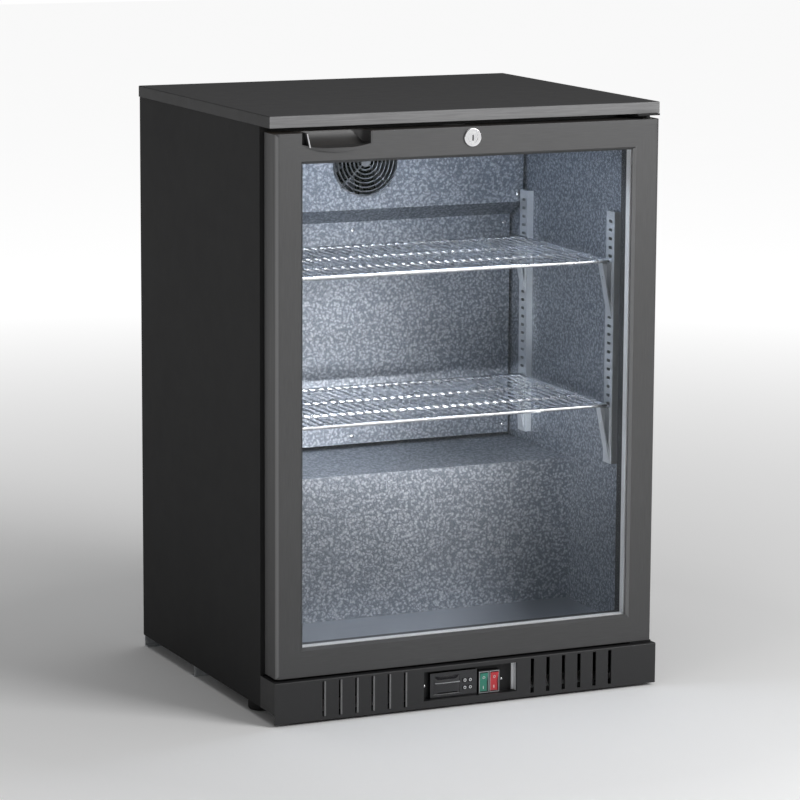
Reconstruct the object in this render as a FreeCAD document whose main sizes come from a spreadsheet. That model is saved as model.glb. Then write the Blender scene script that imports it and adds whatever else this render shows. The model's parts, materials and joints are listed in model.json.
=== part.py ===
import FreeCAD, Part
import math
import os
import re
import Sketcher

# Undercounter refrigerator with one glass door.
# Frame: +X to the right seen from the front, +Y to the back, +Z up, millimetres.
# The origin lies on the floor, under the centre of the overall box.

doc = FreeCAD.newDocument("Refrigerator")
dims = doc.addObject("Spreadsheet::Sheet", "Dims")

SIZES = [
    # overall box and worktop
    ("width", 600), ("depth", 520), ("height", 850),
    ("top_thick", 16.4), ("top_front", -244), ("top_round", 1.5), ("skin", 1),
    # cabinet
    ("body_front", -208), ("body_back", 256), ("body_low", 17.5),
    ("front_return", 17), ("back_return", 13), ("floor_return", 15),
    ("cavity_half", 265), ("cavity_floor", 88), ("cavity_top", 795), ("cavity_back", 221),
    ("step_front", -44), ("step_top", 302),
    ("breaker_thick", 8), ("breaker_half", 283), ("breaker_low", 70),
    ("duct_top", 53), ("base_level", 18.5),
    # door
    ("door_front", -254), ("door_thick", 40), ("door_half", 295.5),
    ("door_low", 66.5), ("door_high", 826.4),
    ("stile", 37.5), ("rail_top", 38.4), ("rail_low", 37.5), ("hollow_wall", 2.5),
    ("bevel", 4), ("lip", 1.5), ("rebate", 4), ("glass_unit", 20), ("pane", 4),
    ("edge_round", 6),
    ("gasket_half", 279.5), ("gasket_width", 16.5), ("gasket_thick", 5.7),
    ("gasket_low", 73), ("gasket_high", 810),
    # hinge and lock
    ("hinge_x", 280), ("hinge_y", -244), ("pin_radius", 4), ("pin_gap", 0.05),
    ("bush_radius", 7), ("hinge_plate", 2.5),
    ("lock_z", 811.5), ("lock_flange", 13), ("lock_body", 10.5), ("lock_plug", 7.5),
    ("cam_reach", 30), ("cam_half", 5), ("cam_front", -222), ("cam_thick", 3),
    # handle cup
    ("cup_left", -256.5), ("cup_right", -151.5), ("cup_back", -224), ("cup_low", 800),
    ("cup_radius", 25), ("cup_lip", 5), ("cup_bow", 180), ("cup_gap", 0.1),
    # kick panel and controls
    ("kick_low", 4), ("kick_high", 63), ("kick_thick", 3), ("kick_shelf", 35),
    ("slot_first", 100), ("slot_pitch", 25), ("slot_wide", 5.5),
    ("slot_low", 9), ("slot_high", 59.5), ("slot_count", 6),
    ("window_left", -71.5), ("window_right", 75), ("window_low", 14), ("window_high", 56.5),
    ("recess_back", -246), ("recess_round", 9), ("case_left", -58), ("case_right", 15.5),
    ("case_low", 14.5), ("case_high", 51), ("case_thick", 6), ("case_depth", 34),
    ("key_wide", 6.4), ("key_tall", 5.4), ("key_gap", 0.3), ("key_out", 0.8),
    ("key_column", -3.7), ("key_step_x", 8.6), ("key_row", 26), ("key_step_z", 10.6),
    ("rocker_left", 20), ("rocker_wide", 12.8), ("rocker_pitch", 16.7),
    ("rocker_low", 16.5), ("rocker_high", 45.5), ("rocker_tilt", 6), ("rocker_gap", 0.3),
    ("pivot_radius", 1.2), ("pivot_gap", 0.05), ("pivot_out", 0.9),
    # shelves
    ("shelf_half", 253), ("shelf_front", -190), ("shelf_back", 95),
    ("frame_wire", 3), ("grid_wire", 1.5), ("grid_count", 36),
    ("shelf_up", 620), ("shelf_down", 409),
    ("pilaster_wide", 25), ("pilaster_thick", 10), ("pilaster_low", 320), ("pilaster_high", 688),
    ("pilaster_front", -198), ("pilaster_rear", 81), ("pilaster_pitch", 12.7),
    # evaporator compartment
    ("cover_y", 155), ("cover_half", 262), ("cover_low", 307), ("cover_high", 645),
    ("housing_y", 110), ("fan_z", 741), ("fan_hole", 50),
    ("guard_wire", 1), ("guard_first", 13), ("guard_pitch", 6.4),
    # machine compartment
    ("room_front", -9), ("room_top", 267), ("comp_x", 150), ("comp_y", 150), ("comp_radius", 68),
    ("comp_low", 36), ("comp_high", 206), ("cond_left", -260), ("cond_right", -40),
    ("cond_fan_x", -150), ("cond_fan_z", 116), ("cond_hole", 84),
    ("pipe_x", 200), ("pipe_y", 200), ("pipe_hole", 9),
    # feet
    ("foot_x", 274.5), ("foot_y", -152.4), ("foot_radius", 20), ("foot_high", 15),
]
for row, (word, number) in enumerate(SIZES, start=1):
    dims.set("A%d" % row, word)
    dims.set("B%d" % row, str(number))
    dims.setAlias("B%d" % row, word)
doc.recompute()

NODES = []


def link(expression):
    """Name the sheet in front of every word of an expression."""
    return re.sub(r"[a-z_]+", lambda word: "Dims." + word.group(0), str(expression))


def value(expression):
    return float(dims.evalExpression(link(expression)))


def vector(x, y, z):
    return FreeCAD.Vector(value(x), value(y), value(z))


# --- Part Design helpers -------------------------------------------------------------

PLANES = {"x": "YZ_Plane", "y": "XZ_Plane", "z": "XY_Plane"}


def new_body(name):
    body = doc.addObject("PartDesign::Body", name)
    body.Label = name
    NODES.append(body)
    return body


def sketch_on(body, name, axis, offset):
    sketch = body.newObject("Sketcher::SketchObject", name)
    plane = [item for item in body.Origin.OriginFeatures if item.Role == PLANES[axis]][0]
    sketch.AttachmentSupport = [(plane, "")]
    sketch.MapMode = "FlatFace"
    sketch.setExpression("AttachmentOffset.Base.z", link(offset))
    return sketch


def bind(sketch, kind, values, expression):
    index = sketch.addConstraint(Sketcher.Constraint(kind, *values))
    sketch.setExpression("Constraints[%d]" % index, link(expression))


def draw_polygon(sketch, points):
    first = sketch.GeometryCount
    count = len(points)
    corners = [FreeCAD.Vector(value(x), value(y), 0) for x, y in points]
    for i in range(count):
        sketch.addGeometry(Part.LineSegment(corners[i], corners[(i + 1) % count]), False)
    for i in range(count):
        joined = (first + i, 2, first + (i + 1) % count, 1)
        sketch.addConstraint(Sketcher.Constraint("Coincident", *joined))
    for i, (x, y) in enumerate(points):
        bind(sketch, "DistanceX", (-1, 1, first + i, 1, corners[i].x), x)
        bind(sketch, "DistanceY", (-1, 1, first + i, 1, corners[i].y), y)


def draw_circle(sketch, x, y, radius):
    index = sketch.GeometryCount
    centre = FreeCAD.Vector(value(x), value(y), 0)
    sketch.addGeometry(Part.Circle(centre, FreeCAD.Vector(0, 0, 1), value(radius)), False)
    bind(sketch, "DistanceX", (-1, 1, index, 3, centre.x), x)
    bind(sketch, "DistanceY", (-1, 1, index, 3, centre.y), y)
    bind(sketch, "Radius", (index, value(radius)), radius)


def draw(sketch, outlines):
    for outline in outlines:
        if outline[0] == "circle":
            draw_circle(sketch, *outline[1:])
        else:
            draw_polygon(sketch, outline)


def rectangle(left, right, low, high):
    return [(left, low), (right, low), (right, high), (left, high)]


def pad(body, axis, start, length, *outlines):
    """Extrude outlines along an axis, from start over length."""
    number = len(body.Group)
    offset = "-(%s + %s)" % (start, length) if axis == "y" else start
    sketch = sketch_on(body, "%s_sketch_%d" % (body.Name, number), axis, offset)
    draw(sketch, outlines)
    feature = body.newObject("PartDesign::Pad", "%s_pad_%d" % (body.Name, number))
    feature.Profile = sketch
    feature.setExpression("Length", link(length))
    doc.recompute()
    return feature


def pocket(body, axis, start, length, *outlines):
    """Cut outlines along an axis, from start over length."""
    number = len(body.Group)
    offset = "-(%s)" % start if axis == "y" else "%s + %s" % (start, length)
    sketch = sketch_on(body, "%s_sketch_%d" % (body.Name, number), axis, offset)
    draw(sketch, outlines)
    feature = body.newObject("PartDesign::Pocket", "%s_pocket_%d" % (body.Name, number))
    feature.Profile = sketch
    feature.setExpression("Length", link(length))
    doc.recompute()
    return feature


def repeat(body, feature, step, count):
    """Repeat a feature along its sketch's horizontal axis."""
    sketch = feature.Profile[0]
    pattern = body.newObject("PartDesign::LinearPattern", "%s_row" % feature.Name)
    pattern.Originals = [feature]
    pattern.Direction = (sketch, ["H_Axis"])
    pattern.setExpression("Length", "abs(%s) * (%s - 1)" % (link(step), link(count)))
    pattern.Reversed = value(step) < 0
    pattern.setExpression("Occurrences", link(count))
    body.Tip = pattern
    doc.recompute()
    return pattern


def fillet(body, radius, chosen):
    """Round the edges of the tip that the test picks."""
    base = body.Tip
    names = ["Edge%d" % (i + 1) for i, edge in enumerate(base.Shape.Edges) if chosen(edge)]
    feature = body.newObject("PartDesign::Fillet", "%s_fillet_%d" % (body.Name, len(body.Group)))
    feature.Base = (base, names)
    feature.setExpression("Radius", link(radius))
    doc.recompute()
    return feature


# --- Part helpers --------------------------------------------------------------------

def block(x_low, x_high, y_low, y_high, z_low, z_high):
    low = vector(x_low, y_low, z_low)
    high = vector(x_high, y_high, z_high)
    size = high - low
    return Part.makeBox(size.x, size.y, size.z, low)


def rod(start, end, radius):
    """Cylinder between two points."""
    axis = end - start
    return Part.makeCylinder(radius, axis.Length, start, axis)


def cylinder(axis, x, y, z, radius, length):
    directions = {"x": (1, 0, 0), "y": (0, 1, 0), "z": (0, 0, 1)}
    direction = FreeCAD.Vector(*directions[axis])
    return Part.makeCylinder(value(radius), value(length), vector(x, y, z), direction)


def fused(shapes):
    return shapes[0].multiFuse(shapes[1:]).removeSplitter()


def prism(points, direction):
    """Extrude a closed flat outline of vectors."""
    return Part.Face(Part.makePolygon(points + points[:1])).extrude(direction)


def mirrored(shape):
    return shape.mirror(FreeCAD.Vector(0, 0, 0), FreeCAD.Vector(1, 0, 0))


def tube_line(points, radius):
    """Round bar along straight legs with ball corners."""
    legs = [rod(points[i], points[i + 1], radius) for i in range(len(points) - 1)]
    balls = [Part.makeSphere(radius, point) for point in points[1:-1]]
    return fused(legs + balls)


def add_part(name, shape):
    item = doc.addObject("Part::Feature", name)
    item.Label = name
    item.Shape = shape
    NODES.append(item)
    return item


def group(shapes):
    return Part.makeCompound(shapes)


# --- Worktop -------------------------------------------------------------------------

top_low = "height - top_thick"
worktop = new_body("worktop")
pad(worktop, "z", top_low, "top_thick", rectangle("-width/2", "width/2", "top_front", "depth/2"))
pocket(worktop, "z", top_low, "top_thick - skin",
       rectangle("-width/2 + skin", "width/2 - skin", "top_front + skin", "depth/2 - skin"))


def upper_outer_edge(edge):
    box = edge.BoundBox
    return box.ZMin > value("height") - 0.01


fillet(worktop, "top_round", upper_outer_edge)

worktop_core = new_body("worktop_core")
pad(worktop_core, "z", top_low, "top_thick - skin",
    rectangle("-width/2 + skin", "width/2 - skin", "top_front + skin", "depth/2 - skin"))
# Slot that takes the lock's cam.
pocket(worktop_core, "z", top_low, "9.5", rectangle("-24", "8", "cam_front - 2", "cam_front + 5"))

# --- Outer cabinet -------------------------------------------------------------------

body_high = "(height - top_thick)"
for name, side in (("left_side_panel", "-1"), ("right_side_panel", "1")):
    panel = new_body(name)
    outer = "%s * width/2" % side
    inner = "%s * (width/2 - skin)" % side
    front = "%s * (width/2 - front_return)" % side
    back = "%s * (width/2 - back_return)" % side
    pad(panel, "z", "body_low", "%s - body_low" % body_high, [
        (outer, "body_front"), (front, "body_front"), (front, "body_front + skin"),
        (inner, "body_front + skin"), (inner, "body_back - skin"), (back, "body_back - skin"),
        (back, "body_back"), (outer, "body_back")])
    lower = "%s * (width/2 - floor_return)" % side
    pad(panel, "z", "body_low", "skin", [
        (inner, "body_front + skin"), (lower, "body_front + skin"),
        (lower, "body_back - skin"), (inner, "body_back - skin")])

rear_panel = new_body("rear_panel")
pad(rear_panel, "y", "body_back - skin", "skin",
    rectangle("-width/2 + back_return", "width/2 - back_return", "room_top", body_high))

# Rear grille: two columns of slots and the hole of the cord grommet.
grille = block("-width/2 + back_return", "width/2 - back_return",
               "body_back - skin", "body_back", "base_level + 1.5", "room_top - 0.5")
slots = []
for column in (-145, 145):
    for step in range(12):
        slots.append(block(column - 100, column + 100, "body_back - 5", "body_back + 5",
                           90 + step * 14, 95 + step * 14))
slots.append(cylinder("y", 240, "body_back - 5", 50, 10, 10))
add_part("rear_grille", grille.cut(slots))

# Rubber grommet with a groove on the edge of the hole.
gland = cylinder("y", 240, "body_back - 6", 50, 9.9, 10)
gland = gland.fuse([cylinder("y", 240, "body_back - 4.5", 50, 12.5, 3.4),
                    cylinder("y", 240, "body_back + 0.1", 50, 12.5, 3)])
add_part("cord_gland", gland.cut(cylinder("y", 240, "body_back - 8", 50, 4, 20)).removeSplitter())

base_plate = block("-width/2 + 3", "width/2 - 3", "room_front + 1", "body_back - 2",
                   "base_level", "base_level + 1.5")
rails = []
for start, turn in ((49, 1), (256, -1)):
    web = [(0, 0), (13, 0), (13, 1.5), (1.5, 1.5), (1.5, 16), (13, 16), (13, 17.5), (0, 17.5)]
    points = [FreeCAD.Vector(-298, start + turn * y, z) for y, z in web]
    rails.append(prism(points, FreeCAD.Vector(596, 0, 0)))
add_part("base_plate", group([base_plate] + rails))

# Sheets below and above the air duct under the insulated floor.
duct_low = block("-width/2 + skin", "width/2 - skin", "body_front + skin", "room_front",
                 "base_level", "base_level + skin")
for side in (-1, 1):
    duct_low = duct_low.cut(cylinder("z", "%d * foot_x" % side, "foot_y", 10, 4.3, 20))
duct_high = block("-width/2 + skin", "width/2 - skin", "body_front + skin", "room_front",
                  "duct_top - skin", "duct_top")
duct_lip = block("-breaker_half", "breaker_half", "body_front", "body_front + skin",
                 "duct_top - skin", "breaker_low")
add_part("duct_sheets", group([duct_low, fused([duct_high, duct_lip])]))

# --- Insulation and lining -----------------------------------------------------------

pipe_shaft = cylinder("z", "pipe_x", "pipe_y", "room_top - 10", "pipe_hole", 60)
foam = block("-width/2 + skin", "width/2 - skin", "body_front + skin", "body_back - skin",
             "duct_top", body_high)
cavity = block("-cavity_half - skin", "cavity_half + skin", "body_front - 1", "cavity_back + skin",
               "cavity_floor - skin", "cavity_top + skin")
step = block("-cavity_half - skin", "cavity_half + skin", "step_front + skin", "cavity_back + skin",
             "cavity_floor - skin", "step_top - skin")
room = block("-width/2", "width/2", "room_front", "body_back", "duct_top - 1", "room_top")
breaker_space = block("-breaker_half", "breaker_half", "body_front - 1",
                      "body_front + breaker_thick", "breaker_low", body_high)
foam = foam.cut(cavity.cut(step)).cut([room, breaker_space, pipe_shaft])
add_part("foam_insulation", foam)

lining_front = "body_front + breaker_thick"
lining_side = block("cavity_half", "cavity_half + skin", lining_front, "cavity_back + skin",
                    "cavity_floor - skin", "cavity_top + skin")
lining_side = lining_side.cut(block(0, "width/2", "step_front + skin", "cavity_back + 5",
                                    0, "step_top - skin"))
add_part("lining_sides", group([lining_side, mirrored(lining_side)]))

lining_ceiling = new_body("lining_ceiling")
pad(lining_ceiling, "z", "cavity_top", "skin",
    rectangle("-cavity_half", "cavity_half", lining_front, "cavity_back"))

lining_floor = new_body("lining_floor")
pad(lining_floor, "z", "cavity_floor - skin", "skin",
    rectangle("-cavity_half", "cavity_half", lining_front, "step_front"))

lining_back = new_body("lining_back")
pad(lining_back, "y", "cavity_back", "skin",
    rectangle("-cavity_half", "cavity_half", "step_top", "cavity_top + skin"))

step_sheet = block("-cavity_half", "cavity_half", "step_front", "step_front + skin",
                   "cavity_floor", "step_top")
step_lid = block("-cavity_half", "cavity_half", "step_front + skin", "cavity_back",
                 "step_top - skin", "step_top")
add_part("lining_step", group([step_sheet, step_lid.cut(pipe_shaft)]))

breaker = new_body("breaker_frame")
pad(breaker, "y", "body_front", "breaker_thick",
    rectangle("-breaker_half", "breaker_half", "breaker_low", body_high),
    rectangle("-cavity_half", "cavity_half", "cavity_floor", "cavity_top"))

# Housing sheets between the machine compartment and the foam.
room_front_sheet = block("-width/2 + skin", "width/2 - skin", "room_front", "room_front + skin",
                         "duct_top", "room_top")
room_lid = block("-width/2 + skin", "width/2 - skin", "room_front + skin", "body_back - skin",
                 "room_top - skin", "room_top")
add_part("machine_housing", group([room_front_sheet, room_lid.cut(pipe_shaft)]))

# --- Kick panel and controls ---------------------------------------------------------

kick_front = "-depth/2"
kick = new_body("kick_panel")
pad(kick, "y", kick_front, "kick_thick",
    rectangle("-width/2", "width/2", "kick_low", "kick_high"),
    rectangle("window_left", "window_right", "window_low", "window_high"))
for side in ("-1", "1"):
    edge = "%s * width/2" % side
    inner = "%s * (width/2 - kick_thick)" % side
    pad(kick, "z", "body_low", "kick_high - body_low", [
        (edge, "-depth/2 + kick_thick"), (inner, "-depth/2 + kick_thick"),
        (inner, "body_front"), (edge, "body_front")])
pad(kick, "z", "kick_high - kick_thick", "kick_thick",
    rectangle("-width/2 + kick_thick", "width/2 - kick_thick",
              "-depth/2 + kick_thick", "body_front - 5"))
# Low shelf behind the slots, short of both ends.
pad(kick, "z", "kick_low", "2",
    rectangle("-width/2 + 20", "width/2 - 20", "-depth/2 + kick_thick", "-depth/2 + kick_thick + kick_shelf"))
for side in (-1, 1):
    centre = "%d * slot_first" % side
    slot = pocket(kick, "y", "-depth/2 - 1", "kick_thick + 2",
                  rectangle("%s - slot_wide/2" % centre, "%s + slot_wide/2" % centre,
                            "slot_low", "slot_high"))
    repeat(kick, slot, "%d * slot_pitch" % side, "slot_count")


def long_front_edge(edge):
    box = edge.BoundBox
    flat = box.YMax < value("-depth/2") + 0.01
    return flat and box.XLength > value("width") - 1 and box.ZMin > value("kick_high") - 0.01


fillet(kick, "top_round", long_front_edge)

rocker_right = "(rocker_left + rocker_pitch + rocker_wide)"
recess = new_body("control_recess")
pad(recess, "y", "-depth/2 + kick_thick", "recess_back + 3 - (-depth/2 + kick_thick)",
    rectangle("window_left - 2", "window_right + 2", "window_low - 2", "window_high + 2"))
pocket(recess, "y", "-depth/2 + kick_thick", "recess_back - (-depth/2 + kick_thick)",
       rectangle("window_left", "window_right", "window_low", "window_high"))
# Two switch frames on the back wall, with a closed switch box behind them.
pad(recess, "y", "recess_back - 6", "6",
    rectangle("rocker_left - 1.5", rocker_right + " + 1.5", "rocker_low - 2", "rocker_high + 2"))
pad(recess, "y", "recess_back + 3", "17",
    rectangle("rocker_left - 1.5", rocker_right + " + 1.5", "rocker_low - 2", "rocker_high + 2"))
for left in ("rocker_left", "(rocker_left + rocker_pitch)"):
    pocket(recess, "y", "recess_back - 7", "16",
           rectangle(left, left + " + rocker_wide", "rocker_low", "rocker_high"))
# Bearing holes of the rockers' pivots, in the sides of the switch frames.
pocket(recess, "x", "rocker_left - pivot_out - 0.2", rocker_right + " - rocker_left + 2 * pivot_out + 0.4",
       ("circle", "recess_back", "(rocker_low + rocker_high)/2", "pivot_radius + pivot_gap"))
# Opening that the controller passes through.
pocket(recess, "y", "recess_back - 1", "5",
       rectangle("case_left + 1.2", "case_right - 1.2", "case_low + 3.8", "case_high - 3.7"))



def right_back_edge(edge):
    box = edge.BoundBox
    upright = box.ZLength > value("window_high - window_low") - 1
    at_right = abs(box.XMin - value("window_right")) < 0.01
    return upright and at_right and abs(box.YMin - value("recess_back")) < 0.01


fillet(recess, "recess_round", right_back_edge)

case = new_body("controller_case")
pad(case, "y", "recess_back - case_thick", "case_thick",
    rectangle("case_left", "case_right", "case_low", "case_high"))
pad(case, "y", "recess_back", "case_depth",
    rectangle("case_left + 1.5", "case_right - 1.5", "case_low + 4.1", "case_high - 4"))
pocket(case, "y", "recess_back - case_thick", "0.6",
       rectangle("case_left + 6", "key_column - 8", "case_low + 5", "case_high - 5"))

KEYS = (("key_lower_left", 0, 0), ("key_lower_right", 1, 0),
        ("key_upper_left", 0, 1), ("key_upper_right", 1, 1))
for name, across, up in KEYS:
    x = "(key_column + %d * key_step_x)" % across
    z = "(key_row + %d * key_step_z)" % up
    wide = "(key_wide/2 + key_gap)"
    tall = "(key_tall/2 + key_gap)"
    pocket(case, "y", "recess_back - case_thick", "case_thick - 0.5",
           rectangle(x + " - " + wide, x + " + " + wide, z + " - " + tall, z + " + " + tall))
for name, across, up in KEYS:
    x = "(key_column + %d * key_step_x)" % across
    z = "(key_row + %d * key_step_z)" % up
    key = new_body(name)
    pad(key, "y", "recess_back - case_thick - key_out", "key_out + case_thick - 1.5",
        rectangle(x + " - key_wide/2", x + " + key_wide/2", z + " - key_tall/2", z + " + key_tall/2"))

# Rockers: the front has two slopes, and at rest the upper half stands proud.
rocker_z = value("(rocker_low + rocker_high)/2")
rocker_y = value("recess_back")
rocker_width = value("rocker_wide - 2 * rocker_gap")
pivot_length = value("rocker_wide + 2 * pivot_out")
side_view = [(3, -12.5), (-6.5, -13.6), (-4.5, 0), (-6.5, 13.6), (3, 12.5)]
for name, left in (("rocker_light", "rocker_left"), ("rocker_power", "rocker_left + rocker_pitch")):
    start = value(left + " + rocker_gap")
    points = [FreeCAD.Vector(start, rocker_y + y, rocker_z + z) for y, z in side_view]
    rocker = prism(points, FreeCAD.Vector(rocker_width, 0, 0))
    rocker.rotate(FreeCAD.Vector(start, rocker_y, rocker_z), FreeCAD.Vector(1, 0, 0), value("rocker_tilt"))
    pivot_start = FreeCAD.Vector(value(left + " - pivot_out"), rocker_y, rocker_z)
    pivot_end = pivot_start + FreeCAD.Vector(pivot_length, 0, 0)
    add_part(name, fused([rocker, rod(pivot_start, pivot_end, value("pivot_radius"))]))

# --- Hinge brackets ------------------------------------------------------------------

plate_high = block("hinge_x - 18", "hinge_x + 17", "body_front - 43", "body_front - 1",
                   body_high + " - hinge_plate", body_high)
pin_high = cylinder("z", "hinge_x", "hinge_y", "door_high - 13", "pin_radius",
                    body_high + " - hinge_plate - door_high + 13")
plate_low = block("hinge_x - 18", "hinge_x + 17", "body_front - 43", "body_front",
                  "kick_high + 0.4", "kick_high + 0.4 + hinge_plate")
plate_leg = block("hinge_x - 18", "hinge_x + 17", "body_front - hinge_plate", "body_front",
                  "kick_low + 21", "kick_high + 0.4")
pin_low = cylinder("z", "hinge_x", "hinge_y", "kick_high + 0.4 + hinge_plate", "pin_radius",
                   "door_low + 13 - kick_high - 0.4 - hinge_plate")
add_part("hinge_brackets", group([fused([plate_high, pin_high]),
                                  fused([plate_low, plate_leg, pin_low])]))

# --- Door ----------------------------------------------------------------------------

door_back = "door_front + door_thick"
pane_half = "door_half - stile"
pane_low = "door_low + rail_low"
pane_high = "door_high - rail_top"


def door_block(margin, y_low, y_high):
    """Box the size of the window, grown by a margin on each side."""
    return block("-(%s) - (%s)" % (pane_half, margin), "%s + %s" % (pane_half, margin),
                 y_low, y_high, "%s - (%s)" % (pane_low, margin), "%s + %s" % (pane_high, margin))


def window_wire(margin, y):
    x = value("%s + %s" % (pane_half, margin))
    low = value("%s - (%s)" % (pane_low, margin))
    high = value("%s + %s" % (pane_high, margin))
    corners = [(-x, low), (x, low), (x, high), (-x, high), (-x, low)]
    return Part.makePolygon([FreeCAD.Vector(px, value(y), pz) for px, pz in corners])


lip_front = "door_front + bevel"
glass_front = "door_front + bevel + lip"
glass_back = "door_front + bevel + lip + glass_unit"
ring = block("-door_half", "door_half", "door_front", door_back, "door_low", "door_high")


def outer_front_edge(edge):
    box = edge.BoundBox
    upright = box.ZLength > value("door_high - door_low") - 1
    return upright and box.YMax < value("door_front") + 0.01


ring = ring.makeFillet(value("edge_round"), [e for e in ring.Edges if outer_front_edge(e)])
ring = ring.makeFillet(0.8, [e for e in ring.Edges
                             if e.BoundBox.YMax < value("door_front") + 0.01
                             and e.BoundBox.XLength > 500])
bevel = Part.makeLoft([window_wire("0", "door_front"), window_wire("-bevel", lip_front)], True, True)
hollow = block("-door_half + hollow_wall", "door_half - hollow_wall", "door_front + hollow_wall",
               door_back + " - hollow_wall", "door_low + hollow_wall", "door_high - hollow_wall")
hollow = hollow.cut(door_block("rebate + hollow_wall", "door_front", door_back))
ring = ring.cut([bevel, door_block("-bevel", lip_front, glass_front),
                 door_block("rebate", glass_front, glass_back),
                 door_block("-2", glass_back, door_back), hollow])


def mitre(side, low, high):
    """Prism that holds one stile, bounded by the mitre lines of both corners."""
    outer = value("door_half + 1")
    bend = value(pane_half)
    inner = value(pane_half) - 10
    slope_high = value("rail_top/stile")
    slope_low = value("rail_low/stile")
    outline = [(outer, high + slope_high), (bend, value(pane_high)), (inner, value(pane_high) - 10),
               (inner, value(pane_low) + 10), (bend, value(pane_low)), (outer, low - slope_low)]
    points = [FreeCAD.Vector(side * x, value("door_front") - 1, z) for x, z in outline]
    return prism(points, FreeCAD.Vector(0, value("door_thick") + 2, 0))


stile_left = mitre(-1, value("door_low"), value("door_high"))
stile_right = mitre(1, value("door_low"), value("door_high"))
upper_half = block(-400, 400, -400, 400, 400, 900)
lower_half = block(-400, 400, -400, 400, 0, 400)
rails = ring.cut([stile_left, stile_right])
add_part("door_stile_left", ring.common(stile_left))
add_part("door_stile_right", ring.common(stile_right))

rail_top = rails.common(upper_half)
cup_middle = value("(cup_left + cup_right)/2")


def bowed(radius, lowest):
    """Cylinder across the door whose lowest line hangs under the middle of the handle cup."""
    centre = FreeCAD.Vector(cup_middle, value("door_front") - 20, value(lowest) + radius)
    return Part.makeCylinder(radius, 80, centre, FreeCAD.Vector(0, 1, 0))


# The cup's opening stops short of the cup's bowed lip, which covers its lower edge.
cup_space = block("cup_left", "cup_right", "door_front - 1", "cup_back", "cup_low - 5", "door_high + 1")
cup_space = cup_space.common(bowed(value("cup_bow") - 0.8, "cup_low + 0.8"))
cam_slot = block(-29, 7, "cam_front - 1.5", "cam_front + 4.5", "door_high - 4", "door_high + 1")
rail_top = rail_top.cut([cup_space, cam_slot,
                         cylinder("y", 0, "door_front - 1", "lock_z", "lock_body", 10),
                         cylinder("z", "hinge_x", "hinge_y", "door_high - 5", "bush_radius", 10)])
add_part("door_rail_top", rail_top)
rail_bottom = rails.common(lower_half)
rail_bottom = rail_bottom.cut(cylinder("z", "hinge_x", "hinge_y", "door_low - 5", "bush_radius", 10))
add_part("door_rail_bottom", rail_bottom)

bushes = []
for start in ("door_high - 14", "door_low + 0.2"):
    bush = cylinder("z", "hinge_x", "hinge_y", start, "bush_radius", 13.8)
    bushes.append(bush.cut(cylinder("z", "hinge_x", "hinge_y", start + " - 1",
                                    "pin_radius + pin_gap", 16)))
add_part("hinge_bushes", group(bushes))

for name, start in (("glass_outer", glass_front), ("glass_inner", glass_back + " - pane")):
    glass = new_body(name)
    pad(glass, "y", start, "pane",
        rectangle("-(%s) - rebate + 0.5" % pane_half, "%s + rebate - 0.5" % pane_half,
                  "%s - rebate + 0.5" % pane_low, "%s + rebate - 0.5" % pane_high))

spacer = new_body("glass_spacer")
pad(spacer, "y", glass_front + " + pane", "glass_unit - 2 * pane",
    rectangle("-(%s) - 1.5" % pane_half, "%s + 1.5" % pane_half,
              "%s - 1.5" % pane_low, "%s + 1.5" % pane_high),
    rectangle("-(%s) + bevel" % pane_half, "%s - bevel" % pane_half,
              "%s + bevel" % pane_low, "%s - bevel" % pane_high))

gasket = new_body("door_gasket")
pad(gasket, "y", door_back, "gasket_thick",
    rectangle("-gasket_half", "gasket_half", "gasket_low", "gasket_high"),
    rectangle("-gasket_half + gasket_width", "gasket_half - gasket_width",
              "gasket_low + gasket_width", "gasket_high - gasket_width"))

# Handle cup: a scoop between a slanted left rim and a rounded right end, with a lip that
# bows forward and down in front of the frame.
front = value("door_front")
cup = block("cup_left + cup_gap", "cup_right - cup_gap", "door_front", "cup_back - cup_gap",
            "cup_low - 5", "door_high - 0.2")
cup = cup.common(bowed(value("cup_bow - 0.8 - cup_gap"), "cup_low + 0.8 + cup_gap"))
reach = 47
lip_low = value("cup_low") - 1
ends = [FreeCAD.Vector(cup_middle + side * reach, front, lip_low) for side in (-1, 1)]
plan = Part.Arc(ends[0], FreeCAD.Vector(cup_middle, front - value("cup_lip"), lip_low), ends[1]).toShape()
lip = Part.Face(Part.Wire([plan, Part.makeLine(ends[1], ends[0])])).extrude(FreeCAD.Vector(0, 0, 13))
lip = lip.common(bowed(value("cup_bow"), "cup_low"))


def across_door(outline, y_low, y_high):
    """Extrude an outline seen from the front."""
    points = [FreeCAD.Vector(x, y_low, z) for x, z in outline]
    return prism(points, FreeCAD.Vector(0, y_high - y_low, 0))


rim = across_door([(-248, 826), (-243.5, 806), (-246, 806), (-250.5, 826)], front - 1.2, front + 3)
cup = fused([cup, lip, rim])
scoop = rod(FreeCAD.Vector(cup_middle - 60, front + 2, 829.5),
            FreeCAD.Vector(cup_middle + 60, front + 2, 829.5), value("cup_radius"))
scoop = scoop.common(bowed(265, "cup_low + 4.5"))
scoop = scoop.common(across_door([(-249.3, 832), (-243.1, 804), (-154, 804), (-154, 832)],
                                 front - 20, front + 40))
rounded_end = block(-260, -154, front - 30, front + 27, "cup_low - 10", "door_high + 5")
rounded_end = rounded_end.makeFillet(22, [e for e in rounded_end.Edges if e.BoundBox.ZLength > 1
                                          and e.BoundBox.XMin > -155 and e.BoundBox.YMin > front])
scoop = scoop.common(rounded_end)
side_hollow = across_door([(-258, 832), (-251.8, 832), (-246.6, 808.5), (-250, 809.2), (-258, 811)],
                          front - 20, front + 12)
cup = cup.cut([scoop, side_hollow])
add_part("handle_cup", cup)

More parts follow.
